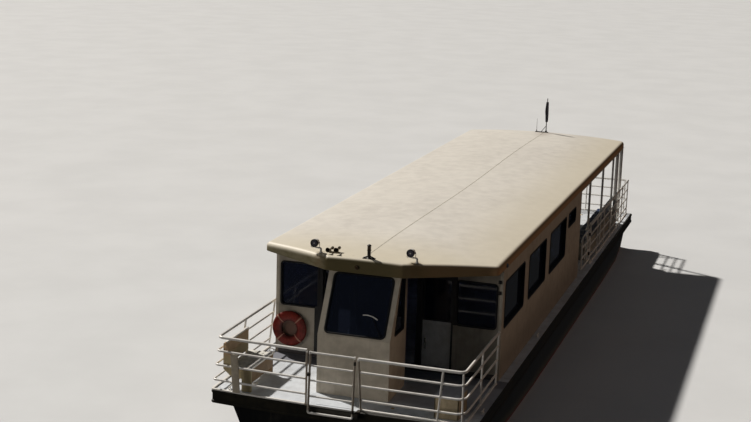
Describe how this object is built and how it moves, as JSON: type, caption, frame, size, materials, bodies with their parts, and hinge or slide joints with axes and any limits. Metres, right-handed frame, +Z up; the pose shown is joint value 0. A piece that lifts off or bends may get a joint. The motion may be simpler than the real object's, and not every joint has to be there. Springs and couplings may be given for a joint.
{
  "type": "passenger ferry",
  "caption": "River passenger ferry with a decked scow hull, glazed cabin under a long roof, raked wheelhouse, open after deck, pipe rails, gates and sliding doors.",
  "frame": {"origin": "at the waterline amidships on the centreline", "axes": "+X towards the bow, +Y to port, +Z up"},
  "size_m": [20.0631, 5.27, 5.64],
  "materials": {
    "hull_paint": "worn black paint, dull red below the waterline",
    "engine_paint": "grey enamel",
    "deck_paint": "non-slip deck paint",
    "strake_paint": "scuffed dark paint",
    "bronze": "dull bronze",
    "dark_steel": "dark paint",
    "cabin_paint": "cream gloss paint",
    "door_paint": "light grey gloss paint",
    "roof_paint": "weathered cream paint",
    "tinted_glass": "dark tinted glass",
    "console_plastic": "dark moulded plastic",
    "seat_cover": "dark blue moulded seats",
    "rail_paint": "white gloss paint",
    "locker_top": "blue-grey paint",
    "lifebuoy_shell": "orange-red shell with pale bands",
    "flag_cloth": "dark furled cloth"
  },
  "bodies": {
    "ship": {"hull": "hull_paint", "skeg": "hull_paint", "engine": "engine_paint", "main_deck": "deck_paint", "strake": "strake_paint", "side_wall_port": "cabin_paint", "side_wall_starboard": "cabin_paint", "side_glazing_port": "tinted_glass", "side_glazing_starboard": "tinted_glass", "front_bulkhead": "cabin_paint", "front_window_port": "tinted_glass", "front_window_starboard": "tinted_glass", "wheelhouse_front": "cabin_paint", "windscreen": "tinted_glass", "wheelhouse_side_port": "cabin_paint", "wheelhouse_side_starboard": "cabin_paint", "quarter_window_port": "tinted_glass", "quarter_window_starboard": "tinted_glass", "helm_console": "console_plastic", "pilot_seat": "seat_cover", "aft_bulkhead": "cabin_paint", "aft_window_port": "tinted_glass", "aft_window_starboard": "tinted_glass", "cabin_seats_port": "seat_cover", "cabin_seats_starboard": "seat_cover", "roof": "roof_paint", "aft_columns_port": "rail_paint", "aft_columns_starboard": "rail_paint", "aft_bench_port": "seat_cover", "aft_bench_starboard": "seat_cover", "bow_rail_port_side": "rail_paint", "bow_rail_port_front": "rail_paint", "bow_rail_starboard_side": "rail_paint", "bow_rail_starboard_front": "rail_paint", "aft_rail_port": "rail_paint", "aft_rail_starboard": "rail_paint", "stern_rail": "rail_paint", "foredeck_bench": "rail_paint", "bow_locker": "rail_paint", "lifebuoy": "lifebuoy_shell", "horn": "dark_steel", "light_post": "dark_steel", "flagstaff": "dark_steel", "furled_flag": "flag_cloth"},
    "bow_gate": {"bow_gate": "rail_paint"},
    "port_front_door": {"front_door_port": "door_paint", "front_door_glass_port": "tinted_glass"},
    "starboard_front_door": {"front_door_starboard": "door_paint", "front_door_glass_starboard": "tinted_glass"},
    "cabin_aft_door": {"aft_door": "door_paint", "aft_door_glass": "tinted_glass"},
    "locker_lid": {"bow_locker_lid": "locker_top"},
    "hatch_lid": {"engine_hatch": "deck_paint"},
    "port_boarding_gate": {"boarding_gate_port": "rail_paint"},
    "starboard_boarding_gate": {"boarding_gate_starboard": "rail_paint"},
    "propeller": {"propeller": "bronze"},
    "rudder": {"rudder": "dark_steel"},
    "helm_wheel": {"helm_wheel": "dark_steel"},
    "port_searchlight": {"searchlight_port": "dark_steel"},
    "starboard_searchlight": {"searchlight_starboard": "dark_steel"}
  },
  "joints": [
    {"name": "bow_gate_hinge", "type": "hinge", "parent": "ship", "child": "bow_gate", "pos_m": [10.235, 0.29, 0.94], "axis": [-0.064, 0, 0.998], "range_deg": [0, 110]},
    {"name": "port_front_door_slide", "type": "slide", "parent": "ship", "child": "port_front_door", "axis": [0, 1, 0], "range_m": [0, 0.62]},
    {"name": "starboard_front_door_slide", "type": "slide", "parent": "ship", "child": "starboard_front_door", "axis": [0, -1, 0], "range_m": [0, 0.62]},
    {"name": "cabin_aft_door_hinge", "type": "hinge", "parent": "ship", "child": "cabin_aft_door", "pos_m": [-1.45, 0.47, 1.14], "axis": [0, 0, -1], "range_deg": [0, 100]},
    {"name": "locker_lid_hinge", "type": "hinge", "parent": "ship", "child": "locker_lid", "pos_m": [9.555, 2.2, 1.4503], "axis": [-1, 0, 0], "range_deg": [0, 85]},
    {"name": "hatch_lid_hinge", "type": "hinge", "parent": "ship", "child": "hatch_lid", "pos_m": [-5.6, 0.54, 1.0503], "axis": [-1, 0, 0], "range_deg": [0, 90]},
    {"name": "port_boarding_gate_hinge", "type": "hinge", "parent": "ship", "child": "port_boarding_gate", "pos_m": [-2.7, 2.445, 1.2], "axis": [0, 0, -1], "range_deg": [0, 100]},
    {"name": "starboard_boarding_gate_hinge", "type": "hinge", "parent": "ship", "child": "starboard_boarding_gate", "pos_m": [-2.7, -2.445, 1.2], "axis": [0, 0, 1], "range_deg": [0, 100]},
    {"name": "propeller_spin", "type": "hinge", "parent": "ship", "child": "propeller", "pos_m": [-8.3, 0, -0.68], "axis": [1, 0, 0], "continuous": true},
    {"name": "rudder_turn", "type": "hinge", "parent": "ship", "child": "rudder", "pos_m": [-8.95, 0, -0.3], "axis": [0, 0, 1], "range_deg": [-35, 35]},
    {"name": "helm_turn", "type": "hinge", "parent": "ship", "child": "helm_wheel", "pos_m": [8.67, 0, 1.65], "axis": [1, 0, 0], "range_deg": [-540, 540]},
    {"name": "port_searchlight_pan", "type": "hinge", "parent": "ship", "child": "port_searchlight", "pos_m": [8.66, 0.967, 3.6], "axis": [0, 0, 1], "range_deg": [-90, 90]},
    {"name": "starboard_searchlight_pan", "type": "hinge", "parent": "ship", "child": "starboard_searchlight", "pos_m": [8.664, -0.965, 3.6], "axis": [0, 0, 1], "range_deg": [-90, 90]}
  ],
  "couplings": [
    {"joint": "helm_turn", "follows": "rudder_turn", "ratio": 15.4}
  ]
}
